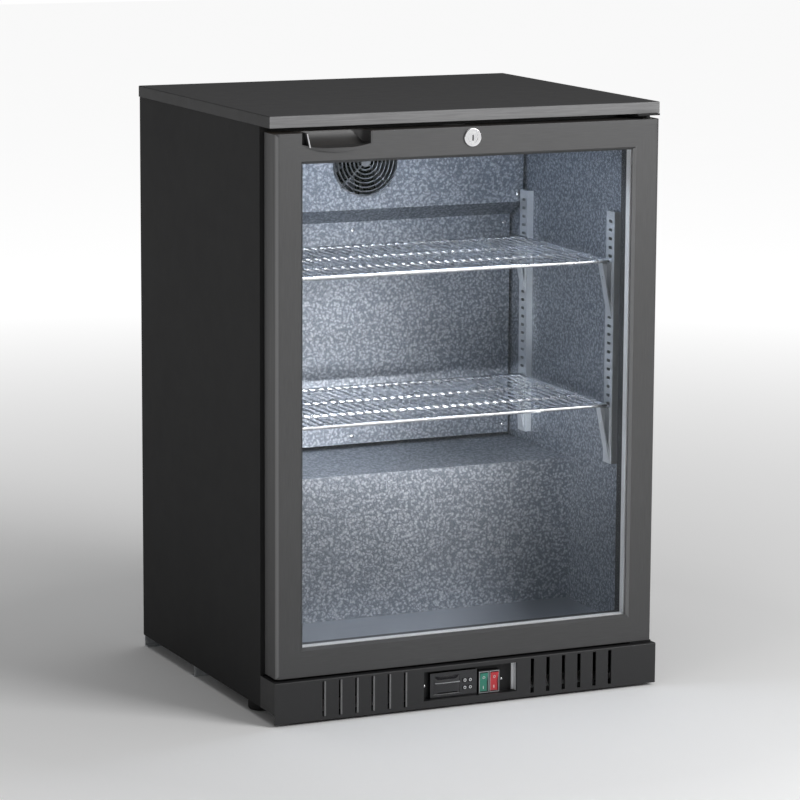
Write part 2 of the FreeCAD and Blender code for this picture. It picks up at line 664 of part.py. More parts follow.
lock = cylinder("y", 0, "door_front - 2.5", "lock_z", "lock_flange", 2.5)
lock = lock.fuse(cylinder("y", 0, "door_front", "lock_z", "lock_body - 0.05",
                          "cam_front - 0.3 - door_front"))
lock = lock.cut(cylinder("y", 0, "door_front - 5", "lock_z", "lock_plug + 0.05", 50)).removeSplitter()
lock = lock.makeFillet(1, [e for e in lock.Edges if e.BoundBox.YMax < front - 2.4
                           and e.BoundBox.XLength > 20])
add_part("lock_housing", lock)

# Lock cylinder with its keyway and the flat cam on its inner end.
plug = cylinder("y", 0, "door_front - 2.2", "lock_z", "lock_plug", "cam_front + cam_thick - door_front + 2.2")
cam = block("-cam_reach", "5", "cam_front", "cam_front + cam_thick", "lock_z - cam_half", "lock_z + cam_half")
keyway = block(-1, 1, "door_front - 5", "door_front + 12", "lock_z - 4.5", "lock_z + 3.5")
add_part("lock_cylinder", fused([plug, cam]).cut(keyway))

# --- Shelves and their supports ------------------------------------------------------


def shelf(top):
    """Wire shelf: a round bar frame, cross bars and close grid wires."""
    wire = value("frame_wire")
    thin = value("grid_wire")
    half = value("shelf_half") - wire
    y_front = value("shelf_front")
    y_back = value("shelf_back") - wire
    z = value(top) - wire
    corners = [FreeCAD.Vector(-half, y_front, z), FreeCAD.Vector(half, y_front, z),
               FreeCAD.Vector(half, y_back, z), FreeCAD.Vector(-half, y_back, z)]
    parts = [rod(corners[i], corners[(i + 1) % 4], wire) for i in range(4)]
    parts += [Part.makeSphere(wire, corner) for corner in corners]
    for y in (y_front + 95, y_front + 190):
        parts.append(rod(FreeCAD.Vector(-half, y, z - 2.4), FreeCAD.Vector(half, y, z - 2.4), wire))
    count = int(value("grid_count"))
    pitch = 2 * half / (count + 1)
    for i in range(1, count + 1):
        x = -half + i * pitch
        start = FreeCAD.Vector(x, y_front, z + wire - thin)
        parts.append(rod(start, FreeCAD.Vector(x, y_back, z + wire - thin), thin))
    return fused(parts)


add_part("shelf_upper", shelf("shelf_up"))
add_part("shelf_lower", shelf("shelf_down"))

pilasters = []
for start in ("pilaster_front", "pilaster_rear"):
    strip = block("cavity_half - pilaster_thick", "cavity_half", start, start + " + pilaster_wide",
                  "pilaster_low", "pilaster_high")
    inside = block("cavity_half - pilaster_thick + 1.2", "cavity_half + 1", start + " + 1.2",
                   start + " + pilaster_wide - 1.2", "pilaster_low - 1", "pilaster_high + 1")
    holes = []
    for step in range(28):
        low = "(pilaster_low + 9 + %d * pilaster_pitch)" % step
        holes.append(block("cavity_half - pilaster_thick - 1", "cavity_half", start + " + 7.5",
                           start + " + 17.5", low, low + " + 4"))
    strip = strip.cut([inside] + holes)
    pilasters += [strip, mirrored(strip)]
add_part("shelf_pilasters", group(pilasters))

# Shelf clips: folded gussets on the pilasters, each with a rivet, under the shelf corners.
clips = []
for top in ("shelf_up", "shelf_down"):
    for start in ("pilaster_front", "pilaster_rear"):
        z = value(top) - 2 * value("frame_wire") - 0.3
        y = value(start + " + 5.5")
        x_wall = value("cavity_half - pilaster_thick")
        outline = [(x_wall, z), (x_wall - 15, z), (x_wall - 15, z - 4), (x_wall, z - 78)]
        gusset = prism([FreeCAD.Vector(px, y, pz) for px, pz in outline], FreeCAD.Vector(0, 14, 0))
        inner = [(x_wall - 1.2, z - 1.2), (x_wall - 13.6, z - 1.2), (x_wall - 13.6, z - 4),
                 (x_wall - 1.2, z - 64)]
        space = prism([FreeCAD.Vector(px, y - 1, pz) for px, pz in inner], FreeCAD.Vector(0, 13.8, 0))
        rivet = rod(FreeCAD.Vector(x_wall - 13.5, y + 7, z - 21),
                    FreeCAD.Vector(x_wall - 8, y + 7, z - 21), 2.4)
        clip = fused([gusset.cut(space), rivet])
        clips += [clip, mirrored(clip)]
add_part("shelf_clips", group(clips))

# --- Evaporator compartment ----------------------------------------------------------

cover = new_body("evaporator_cover")
pad(cover, "y", "cover_y", "skin", rectangle("-cover_half", "cover_half", "cover_low", "cover_high"))

housing = new_body("fan_housing")
pad(housing, "x", "-cover_half", "2 * cover_half", [
    ("cover_y", "cover_high"), ("housing_y", "cover_high + 24"), ("housing_y", "cavity_top - 0.3"),
    ("housing_y + skin", "cavity_top - 0.3"), ("housing_y + skin", "cover_high + 24.5"),
    ("cover_y + skin", "cover_high + 0.5"), ("cover_y + skin", "cover_high")])
pocket(housing, "y", "housing_y - 2", "6", ("circle", "0", "fan_z", "fan_hole"))

fan_z = value("fan_z")
housing_y = value("housing_y")
wire = value("guard_wire")
rings = []
ring_count = 7
for step in range(ring_count):
    radius = value("guard_first + %d * guard_pitch" % step)
    rings.append(Part.makeTorus(radius, wire, FreeCAD.Vector(0, housing_y - 3 * wire + 0.4, fan_z),
                                FreeCAD.Vector(0, 1, 0)))
for angle in (45, 135, 225, 315):
    direction = FreeCAD.Vector(math.cos(math.radians(angle)), 0, math.sin(math.radians(angle)))
    centre = FreeCAD.Vector(0, housing_y - wire, fan_z)
    rings.append(rod(centre + direction * 5, centre + direction * 56, wire))
rings.append(cylinder("y", 0, "housing_y - 3", "fan_z", 8, 2.5))
add_part("fan_guard", fused(rings))


def blades(x, y, z, hub, tip, chord, count, thick):
    """Axial fan wheel about a Y axis, with tilted flat blades."""
    wheel = [rod(FreeCAD.Vector(x, y - 8, z), FreeCAD.Vector(x, y + 8, z), hub)]
    for i in range(count):
        blade = Part.makeBox(tip - hub + 3, thick, chord, FreeCAD.Vector(hub - 3, -thick/2, -chord/2))
        blade.rotate(FreeCAD.Vector(0, 0, 0), FreeCAD.Vector(1, 0, 0), 62)
        blade.rotate(FreeCAD.Vector(0, 0, 0), FreeCAD.Vector(0, 1, 0), 360.0 * i / count)
        blade.translate(FreeCAD.Vector(x, y, z))
        wheel.append(blade)
    bore = rod(FreeCAD.Vector(x, y - 4, z), FreeCAD.Vector(x, y + 9, z), 3.05)
    return fused(wheel).cut(bore)


add_part("evaporator_fan", blades(0, 125, fan_z, 17, 48, 24, 5, 1.5))
# Motor on a bracket of three legs: a fourth one would meet the ceiling.
motor = [cylinder("y", 0, 138, "fan_z", 19, 32), cylinder("y", 0, 123, "fan_z", 3, 16)]
for angle in (0, 90, 180):
    arm = Part.makeBox(50, 2, 8, FreeCAD.Vector(15, 138, -4))
    leg = Part.makeBox(4, 29, 8, FreeCAD.Vector(61, 111, -4))
    for item in (arm, leg):
        item.rotate(FreeCAD.Vector(0, 0, 0), FreeCAD.Vector(0, 1, 0), angle)
        item.translate(FreeCAD.Vector(0, 0, fan_z))
        motor.append(item)
add_part("evaporator_motor", fused(motor))


def finned_coil(x_low, x_high, y_low, y_high, z_low, z_high, fins, rows, radius):
    """Fin block with level tubes in two columns, joined by bends at their ends."""
    parts = []
    for i in range(fins):
        x = x_low + (x_high - x_low) * i / (fins - 1)
        parts.append(Part.makeBox(1.2, y_high - y_low, z_high - z_low,
                                  FreeCAD.Vector(x - 0.6, y_low, z_low)))
    middle_y = (y_low + y_high) / 2
    for j in range(rows):
        z = z_low + (z_high - z_low) * (j + 0.5) / rows
        loop = [(x_high + 6, middle_y - 10, z), (x_low - 6, middle_y - 10, z),
                (x_low - 6, middle_y + 10, z), (x_high + 6, middle_y + 10, z)]
        parts.append(tube_line([FreeCAD.Vector(*point) for point in loop], radius))
    return fused(parts)


add_part("evaporator_coil", finned_coil(-160, 160, 170, 212, 380, 600, 18, 5, 4))

light = new_body("light_bar")
pad(light, "x", "-210", "420", [
    ("body_front + 16", "cavity_top"), ("body_front + 18", "cavity_top - 9"),
    ("body_front + 24", "cavity_top - 13"), ("body_front + 34", "cavity_top - 13"),
    ("body_front + 40", "cavity_top - 9"), ("body_front + 42", "cavity_top")])

# --- Machine compartment -------------------------------------------------------------

shell = cylinder("z", "comp_x", "comp_y", "comp_low", "comp_radius", "comp_high - comp_low")
shell = shell.makeFillet(26, [e for e in shell.Edges if e.Closed and e.BoundBox.ZLength < 0.1])
seam = cylinder("z", "comp_x", "comp_y", 122, "comp_radius + 3", 5)
skid = block("comp_x - 95", "comp_x + 95", "comp_y - 65", "comp_y + 65", "comp_low - 2.5", "comp_low + 1")
add_part("compressor", fused([shell, seam, skid]))

mounts = []
for x in (-80, 80):
    for y in (-52, 52):
        place = ("comp_x + %d" % x, "comp_y + %d" % y)
        mount = cylinder("z", *place, "base_level + 1.5", 11, "comp_low - 2.5 - base_level - 1.5")
        mounts.append(mount.cut(cylinder("z", *place, "base_level", 4, 30)))
add_part("compressor_mounts", group(mounts))
add_part("terminal_box", block("comp_x + comp_radius + 3.3", "comp_x + comp_radius + 34",
                               "comp_y - 26", "comp_y + 26", 70, 118))

add_part("condenser_coil", finned_coil(-250, -46, 8, 50, 26, 206, 20, 6, 4))
shroud = block("cond_left - 2", "cond_right + 2", 60, 62, "base_level + 1.5", 214)
shroud = shroud.cut(cylinder("y", "cond_fan_x", 55, "cond_fan_z", "cond_hole", 12))
shroud_parts = [shroud, cylinder("y", "cond_fan_x", 96, "cond_fan_z", 27, 42),
                cylinder("y", "cond_fan_x", 76, "cond_fan_z", 3, 22)]
for angle in (45, 135, 225, 315):
    arm = Part.makeBox(70, 3, 10, FreeCAD.Vector(20, 96, -5))
    leg = Part.makeBox(4, 38, 10, FreeCAD.Vector(86, 61, -5))
    for item in (arm, leg):
        item.rotate(FreeCAD.Vector(0, 0, 0), FreeCAD.Vector(0, 1, 0), angle)
        item.translate(FreeCAD.Vector(value("cond_fan_x"), 0, value("cond_fan_z")))
        shroud_parts.append(item)
add_part("condenser_shroud", fused(shroud_parts))
add_part("condenser_fan", blades(value("cond_fan_x"), 78, value("cond_fan_z"), 20, 78, 24, 5, 1.5))

pipes = [
    # discharge line, liquid line with the drier, suction line, capillary
    tube_line([FreeCAD.Vector(*p) for p in ((78.6, 150, 150), (20, 150, 150), (20, 19, 150), (-38, 19, 150))], 4),
    tube_line([FreeCAD.Vector(*p) for p in ((-38, 19, 60), (-16, 19, 60))], 4),
    tube_line([FreeCAD.Vector(*p) for p in ((150, 221.4, 150), (150, 236, 150), (150, 236, 235),
                                            (196.5, 236, 235), (196.5, 200, 235), (196.5, 200, 402),
                                            (168, 200, 402))], 4),
    tube_line([FreeCAD.Vector(*p) for p in ((70, 19, 60), (205, 19, 60), (205, 19, 235),
                                            (205, 200, 235), (205, 200, 446), (168, 200, 446))], 1.5),
]
drier = rod(FreeCAD.Vector(-12, 19, 60), FreeCAD.Vector(66, 19, 60), 10)
drier = drier.makeFillet(6, [e for e in drier.Edges if e.Closed])
pipes[1] = fused([pipes[1], rod(FreeCAD.Vector(-17, 19, 60), FreeCAD.Vector(-11, 19, 60), 4), drier,
                  rod(FreeCAD.Vector(65, 19, 60), FreeCAD.Vector(71, 19, 60), 1.5), pipes[3]])
add_part("refrigerant_pipes", group(pipes[:3]))

tray = block(-275, -30, 158, 246, "base_level + 1.5", 48)
add_part("evaporation_tray", tray.cut(block(-272.5, -32.5, 160.5, 243.5, "base_level + 4", 60)))

# --- Feet ----------------------------------------------------------------------------

for name, side in (("foot_left", -1), ("foot_right", 1)):
    foot = new_body(name)
    x = "%d * foot_x" % side
    pad(foot, "z", "0", "foot_high", ("circle", x, "foot_y", "foot_radius"))
    fillet(foot, "4", lambda edge: edge.Closed and edge.BoundBox.ZMax < 0.01)
    pad(foot, "z", "foot_high", "25", ("circle", x, "foot_y", "4.2"))

# --- Checks and export ---------------------------------------------------------------

doc.recompute()
for item in doc.Objects:
    if "Invalid" in item.State or "Error" in item.State:
        raise RuntimeError("%s: %s" % (item.Name, item.State))
os.makedirs("parts", exist_ok=True)
for node in NODES:
    shape = node.Shape
    if shape.isNull() or not shape.isValid():
        raise RuntimeError("bad shape: " + node.Label)
    shape.exportStep("parts/%s.step" % node.Label)
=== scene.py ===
import json
import math

import bmesh
import bpy
from mathutils import Matrix, Vector


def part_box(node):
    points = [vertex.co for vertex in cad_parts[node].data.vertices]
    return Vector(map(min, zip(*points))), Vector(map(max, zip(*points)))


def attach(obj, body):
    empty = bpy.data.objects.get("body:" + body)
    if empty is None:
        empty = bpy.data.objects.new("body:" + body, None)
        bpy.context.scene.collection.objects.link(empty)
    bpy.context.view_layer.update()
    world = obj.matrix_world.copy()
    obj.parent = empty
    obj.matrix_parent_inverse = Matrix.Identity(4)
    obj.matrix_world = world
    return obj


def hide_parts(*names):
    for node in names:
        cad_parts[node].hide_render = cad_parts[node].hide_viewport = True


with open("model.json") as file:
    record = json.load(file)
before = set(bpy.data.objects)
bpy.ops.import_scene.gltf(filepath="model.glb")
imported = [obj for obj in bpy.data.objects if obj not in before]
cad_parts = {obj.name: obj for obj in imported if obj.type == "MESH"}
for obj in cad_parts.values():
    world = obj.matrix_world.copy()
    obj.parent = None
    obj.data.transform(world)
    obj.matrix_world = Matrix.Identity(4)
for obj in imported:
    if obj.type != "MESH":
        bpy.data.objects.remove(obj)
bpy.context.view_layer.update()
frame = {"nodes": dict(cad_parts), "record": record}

# Looks of an undercounter refrigerator with one glass door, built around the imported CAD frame.
# Everything is in metres: +X right, +Y back, +Z up, origin on the floor under the centre.

MM = 0.001
DIODE_PITCH = 0.03
BODY_OF = {node: body for body, nodes in frame["record"]["behaviour"]["bodies"].items() for node in nodes}
SLOT_OF = {part["node"]: part["material_slot"] for part in frame["record"]["subparts"]}


# --- Material helpers ----------------------------------------------------------------

def new_material(name):
    material = bpy.data.materials.new(name)
    material.use_nodes = True
    return material, material.node_tree.nodes["Principled BSDF"]


def add_node(material, kind, inputs=None, **settings):
    """Add a node; an input is a plain value or another node's output."""
    made = material.node_tree.nodes.new(kind)
    for key, setting in settings.items():
        setattr(made, key, setting)
    for key, given in (inputs or {}).items():
        if isinstance(given, bpy.types.NodeSocket):
            material.node_tree.links.new(given, made.inputs[key])
        else:
            made.inputs[key].default_value = given
    return made


def connect(material, output, target):
    material.node_tree.links.new(output, target)


def coordinates(material, stretch=(1, 1, 1)):
    place = add_node(material, "ShaderNodeTexCoord")
    mapping = add_node(material, "ShaderNodeMapping", {"Vector": place.outputs["Object"], "Scale": stretch})
    return mapping.outputs["Vector"]


def noise(material, scale, detail=4.0, roughness=0.55, stretch=(1, 1, 1), distortion=0.0):
    made = add_node(material, "ShaderNodeTexNoise",
                    {"Vector": coordinates(material, stretch), "Scale": scale, "Detail": detail,
                     "Roughness": roughness, "Distortion": distortion})
    return made.outputs["Fac"]


def spread(material, value, low, high, start=0.3, end=0.7):
    """Map a 0 to 1 pattern onto a range."""
    made = add_node(material, "ShaderNodeMapRange",
                    {"Value": value, "From Min": start, "From Max": end, "To Min": low, "To Max": high})
    return made.outputs["Result"]


def blend(material, factor, first, second, mode="MIX"):
    made = add_node(material, "ShaderNodeMix", data_type="RGBA", blend_type=mode)
    for index, given in ((0, factor), (6, first), (7, second)):
        if isinstance(given, bpy.types.NodeSocket):
            connect(material, given, made.inputs[index])
        elif index == 0:
            made.inputs[index].default_value = given
        else:
            made.inputs[index].default_value = (*given, 1.0)
    return made.outputs[2]


def math_node(material, operation, first, second=0.0):
    made = add_node(material, "ShaderNodeMath", operation=operation)
    for index, given in enumerate((first, second)):
        if isinstance(given, bpy.types.NodeSocket):
            connect(material, given, made.inputs[index])
        else:
            made.inputs[index].default_value = given
    return made.outputs[0]


def bump(material, height, distance, strength=1.0, normal=None):
    inputs = {"Height": height, "Distance": distance, "Strength": strength}
    if normal is not None:
        inputs["Normal"] = normal
    return add_node(material, "ShaderNodeBump", inputs).outputs["Normal"]


def edge_mask(material, radius):
    """1 on sharp outer edges, 0 on flat faces."""
    rounded = add_node(material, "ShaderNodeBevel", {"Radius": radius}, samples=4)
    plain = add_node(material, "ShaderNodeNewGeometry")
    dot = add_node(material, "ShaderNodeVectorMath", operation="DOT_PRODUCT")
    connect(material, rounded.outputs["Normal"], dot.inputs[0])
    connect(material, plain.outputs["Normal"], dot.inputs[1])
    return spread(material, dot.outputs["Value"], 1.0, 0.0, 0.85, 0.99)


def facing(material, axis, start=0.6, end=0.9):
    """1 where the surface looks along the axis, in the object's own space."""
    place = add_node(material, "ShaderNodeTexCoord")
    dot = add_node(material, "ShaderNodeVectorMath", operation="DOT_PRODUCT")
    connect(material, place.outputs["Normal"], dot.inputs[0])
    dot.inputs[1].default_value = axis
    return spread(material, dot.outputs["Value"], 0.0, 1.0, start, end)


def set_values(shader, **values):
    for key, given in values.items():
        shader.inputs[key.replace("_", " ")].default_value = given


# --- Materials -----------------------------------------------------------------------

def coated(name, colour, second, rough=(0.45, 0.52), grain=1400, height=0.012, peel=0.02,
           worn=None, coat=0.0, specular=0.5):
    """Paint, plastic or rubber: faint clouds, orange peel, fine grain, a little edge wear."""
    material, shader = new_material(name)
    clouds = noise(material, 5.0, 5.0)
    fine = noise(material, grain, 3.0, 0.6)
    colour_out = blend(material, spread(material, clouds, 0.0, 1.0), colour, second)
    specks = spread(material, fine, 0.0, 0.5, 0.4, 0.7)
    colour_out = blend(material, specks, colour_out, tuple(min(1.0, 1.35 * c) for c in second))
    if worn is not None:
        scratches = noise(material, 140, 6.0, 0.7)
        mask = math_node(material, "MULTIPLY", edge_mask(material, 0.8 * MM),
                         spread(material, scratches, 0.0, 0.7, 0.45, 0.75))
        colour_out = blend(material, mask, colour_out, worn)
    connect(material, colour_out, shader.inputs["Base Color"])
    mixed = math_node(material, "MULTIPLY_ADD", fine, 0.7)
    connect(material, noise(material, 30.0, 6.0, 0.65), mixed.node.inputs[2])
    connect(material, spread(material, mixed, rough[0], rough[1], 0.6, 1.1), shader.inputs["Roughness"])
    dimples = noise(material, grain / 5, 2.0, 0.5)
    first = bump(material, dimples, peel * MM)
    connect(material, bump(material, fine, height * MM, normal=first), shader.inputs["Normal"])
    set_values(shader, Coat_Weight=coat, Coat_Roughness=0.08, Specular_IOR_Level=specular)
    return material


def brushed(name, colour, second, along, rough=(0.3, 0.42), metallic=1.0, height=0.006, specular=0.5,
            corner=None):
    """Brushed metal: long fine lines along one axis; if given, a lighter colour on the outer left corner, a
    painted highlight.
    """
    material, shader = new_material(name)
    stretch = tuple(0.02 if axis == along else 1.0 for axis in "xyz")
    lines = noise(material, 1500, 2.0, 0.7, stretch)
    broad = noise(material, 240, 3.0, 0.6, stretch)
    clouds = noise(material, 4.0, 4.0)
    colour_out = blend(material, spread(material, lines, 0.0, 1.0, 0.25, 0.75), colour, second)
    colour_out = blend(material, spread(material, clouds, 0.0, 0.25), colour_out,
                       tuple(0.8 * c for c in colour))
    # Painted highlight: surfaces that face front-left get the lighter corner colour.
    if corner is not None:
        colour_out = blend(material, facing(material, (-0.707, -0.707, 0), 0.8, 0.97), colour_out, corner)
    connect(material, colour_out, shader.inputs["Base Color"])
    connect(material, spread(material, broad, rough[0], rough[1]), shader.inputs["Roughness"])
    connect(material, bump(material, lines, height * MM), shader.inputs["Normal"])
    set_values(shader, Metallic=metallic, Specular_IOR_Level=specular)
    return material


def stucco(name, colour, second, rough=(0.42, 0.54), cell=230, height=0.5):
    """Stucco embossed aluminium: small raised pebbles, coloured light and dark with the relief as painted
    glints and shade.
    """
    material, shader = new_material(name)
    place = coordinates(material)
    warp = add_node(material, "ShaderNodeTexNoise", {"Vector": place, "Scale": 120.0, "Detail": 3.0})
    shifted = add_node(material, "ShaderNodeMix", data_type="VECTOR")
    shifted.inputs[0].default_value = 0.01
    connect(material, place, shifted.inputs[4])
    connect(material, warp.outputs["Color"], shifted.inputs[5])
    pebbles = add_node(material, "ShaderNodeTexVoronoi",
                       {"Vector": shifted.outputs[1], "Scale": cell, "Smoothness": 0.5},
                       feature="SMOOTH_F1")
    relief = pebbles.outputs["Distance"]
    wrinkles = noise(material, 520, 3.0, 0.6)
    heights = math_node(material, "MULTIPLY_ADD", wrinkles, 0.3)
    connect(material, relief, heights.node.inputs[2])
    clouds = noise(material, 6.0, 4.0)
    # Painted glints and shade: the colour goes from light to dark with the pebble relief.
    colour_out = blend(material, spread(material, relief, 0.0, 1.0, 0.1, 0.6), second, colour)
    colour_out = blend(material, spread(material, clouds, 0.0, 0.2), colour_out,
                       tuple(0.75 * c for c in colour))
    connect(material, colour_out, shader.inputs["Base Color"])
    connect(material, spread(material, wrinkles, rough[0], rough[1]), shader.inputs["Roughness"])
    connect(material, bump(material, heights, height * MM), shader.inputs["Normal"])
    set_values(shader, Metallic=0.9)
    return material


def spangled(name, colour, second, rough=(0.35, 0.5), metallic=0.7):
    """Hot-dip zinc: flat crystals of slightly different grey."""
    material, shader = new_material(name)
    crystals = add_node(material, "ShaderNodeTexVoronoi",
                        {"Vector": coordinates(material), "Scale": 75.0, "Randomness": 1.0})
    shade = add_node(material, "ShaderNodeSeparateColor", {"Color": crystals.outputs["Color"]})
    clouds = noise(material, 9.0, 5.0)
    connect(material, blend(material, shade.outputs[0], colour, second), shader.inputs["Base Color"])
    mixed = math_node(material, "MULTIPLY_ADD", clouds, 0.6)
    connect(material, shade.outputs[1], mixed.node.inputs[2])
    connect(material, spread(material, mixed, rough[0], rough[1], 0.2, 1.4), shader.inputs["Roughness"])
    connect(material, bump(material, noise(material, 500, 2.0), 0.01 * MM), shader.inputs["Normal"])
    set_values(shader, Metallic=metallic)
    return material


def plated(name, colour, second, rough=(0.1, 0.22), grain=300, height=0.004):
    """Bright plating with faint haze."""
    material, shader = new_material(name)
    haze = noise(material, 35.0, 6.0, 0.65)
    connect(material, blend(material, spread(material, haze, 0.0, 1.0), colour, second),
            shader.inputs["Base Color"])
    connect(material, spread(material, haze, rough[0], rough[1]), shader.inputs["Roughness"])
    connect(material, bump(material, noise(material, grain, 2.0), height * MM), shader.inputs["Normal"])
    set_values(shader, Metallic=1.0)
    return material


def clear_glass(name):
    """Clear pane: mostly see-through, with faint smears in its gloss."""
    material, shader = new_material(name)
    smears = noise(material, 11.0, 6.0, 0.7)
    tint = blend(material, spread(material, smears, 0.0, 1.0), (0.03, 0.04, 0.042), (0.05, 0.06, 0.062))
    connect(material, tint, shader.inputs["Base Color"])
    connect(material, spread(material, smears, 0.03, 0.08), shader.inputs["Roughness"])
    connect(material, spread(material, smears, 0.03, 0.06), shader.inputs["Alpha"])
    return material


def opal(name, strength):
    """Milky diffuser that glows, a little brighter over each diode."""
    material, shader = new_material(name)
    place = add_node(material, "ShaderNodeTexCoord")
    split = add_node(material, "ShaderNodeSeparateXYZ", {"Vector": place.outputs["Object"]})
    turns = math_node(material, "MULTIPLY", split.outputs["X"], 2 * math.pi / DIODE_PITCH)
    wave = math_node(material, "SINE", turns)
    glow = blend(material, spread(material, wave, 0.0, 1.0, -1.0, 1.0), (0.72, 0.84, 1.0), (0.9, 0.95, 1.0))
    connect(material, glow, shader.inputs["Emission Color"])
    connect(material, blend(material, noise(material, 60.0), (0.85, 0.87, 0.9), (0.92, 0.93, 0.95)),
            shader.inputs["Base Color"])
    connect(material, spread(material, noise(material, 300.0), 0.4, 0.55), shader.inputs["Roughness"])
    set_values(shader, Emission_Strength=strength)
    return material


def foamed(name):
    """Rigid insulation foam with open cut cells."""
    material, shader = new_material(name)
    cells = add_node(material, "ShaderNodeTexVoronoi", {"Vector": coordinates(material), "Scale": 500.0})
    clouds = noise(material, 12.0)
    tint = blend(material, spread(material, clouds, 0.0, 1.0), (0.8, 0.68, 0.42), (0.86, 0.77, 0.55))
    connect(material, tint, shader.inputs["Base Color"])
    connect(material, bump(material, cells.outputs["Distance"], 0.4 * MM), shader.inputs["Normal"])
    connect(material, spread(material, clouds, 0.85, 0.95), shader.inputs["Roughness"])
    return material


def particle_board(name):
    """Particle board: pressed chips in warm browns."""
    material, shader = new_material(name)
    chips = add_node(material, "ShaderNodeTexVoronoi",
                     {"Vector": coordinates(material, (1, 0.35, 1)), "Scale": 260.0})
    shade = add_node(material, "ShaderNodeSeparateColor", {"Color": chips.outputs["Color"]})
    connect(material, blend(material, shade.outputs[0], (0.36, 0.23, 0.12), (0.55, 0.4, 0.24)),
            shader.inputs["Base Color"])
    connect(material, bump(material, chips.outputs["Distance"], 0.15 * MM), shader.inputs["Normal"])
    connect(material, spread(material, shade.outputs[1], 0.65, 0.85, 0.0, 1.0), shader.inputs["Roughness"])
    return material


def worktop_steel(name):
    """Charcoal powder coat; the front face is painted lighter, a painted highlight from the front light,
    with lengthwise brushed lines in it.
    """
    material, shader = new_material(name)
    fine = noise(material, 1300, 3.0, 0.6)
    lines = noise(material, 900, 2.0, 0.7, (0.02, 1, 1))
    flat = blend(material, spread(material, fine, 0.0, 1.0), (0.036, 0.036, 0.037), (0.048, 0.048, 0.049))
    # Painted highlight: a lighter, lengthwise brushed colour for the front face.
    painted_front_sheen = blend(material, spread(material, lines, 0.0, 1.0, 0.25, 0.75), (0.15, 0.15, 0.152),
                 (0.24, 0.24, 0.242))
    # Faces that look forward take the painted highlight colour.
    front = facing(material, (0, -1, 0), 0.45, 0.9)
    connect(material, blend(material, front, flat, painted_front_sheen), shader.inputs["Base Color"])
    haze = noise(material, 40.0, 6.0, 0.65)
    connect(material, spread(material, haze, 0.5, 0.56), shader.inputs["Roughness"])
    dimples = bump(material, noise(material, 300, 2.0), 0.02 * MM)
    connect(material, bump(material, fine, 0.012 * MM, normal=dimples), shader.inputs["Normal"])
    set_values(shader, Specular_IOR_Level=0.22)
    return material


